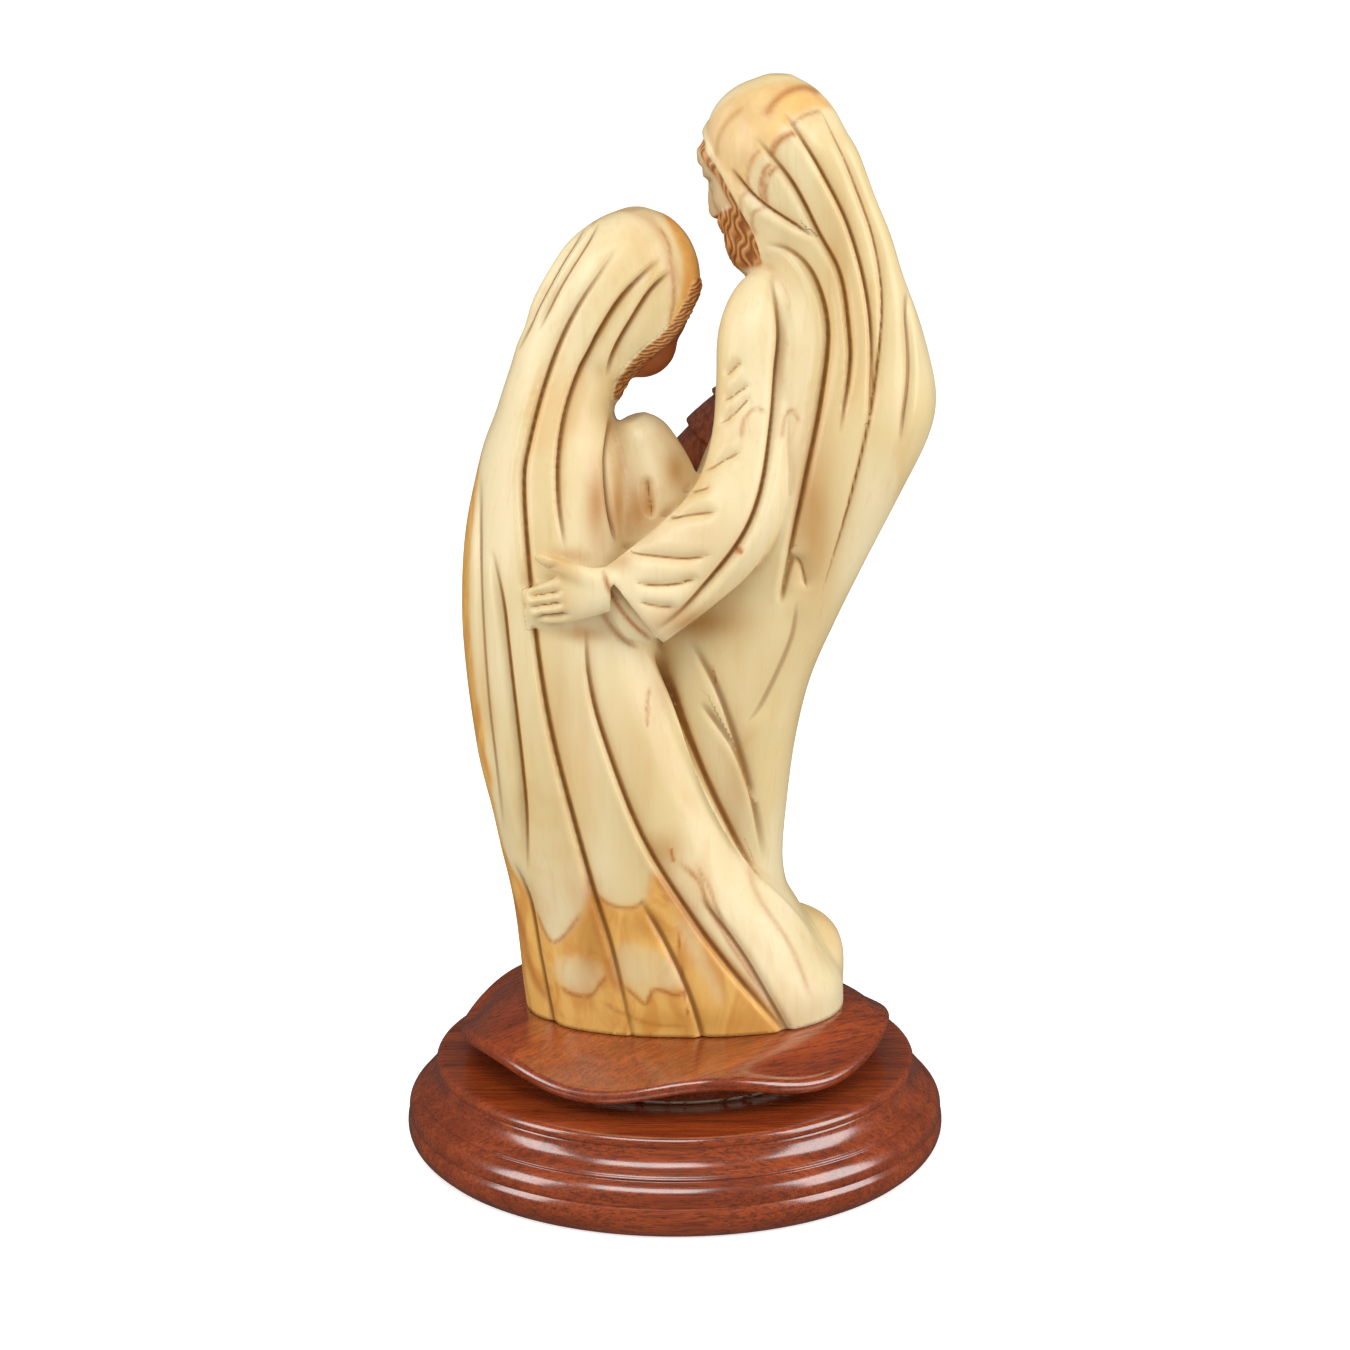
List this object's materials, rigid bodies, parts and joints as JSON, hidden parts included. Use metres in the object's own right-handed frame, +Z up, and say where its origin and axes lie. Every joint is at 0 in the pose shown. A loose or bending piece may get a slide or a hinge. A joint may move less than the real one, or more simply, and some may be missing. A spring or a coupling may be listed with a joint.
{
  "type": "holy family statue",
  "caption": "Carved wooden holy family group in pale olive wood: two cloaked figures bend over a wrapped child in dark wood, on a wavy plate and a round turned base.",
  "frame": {"origin": "centre of the round base's underside, on the surface the statue stands on", "axes": "+Z up; -Y towards the viewer of the figures' backs, as in the picture; +X to that viewer's right, the taller figure's side"},
  "size_m": [0.137, 0.137, 0.2728],
  "materials": {
    "base_wood": "glossy reddish-brown varnish",
    "olive_wood": "satin polish, pale, with orange-brown grooves",
    "dark_wood": "satin polish, dark reddish"
  },
  "bodies": {
    "root": {"turned_base": "base_wood", "wavy_plate": "base_wood", "mary_and_joseph": "olive_wood", "swaddled_child": "dark_wood"}
  },
  "joints": []
}
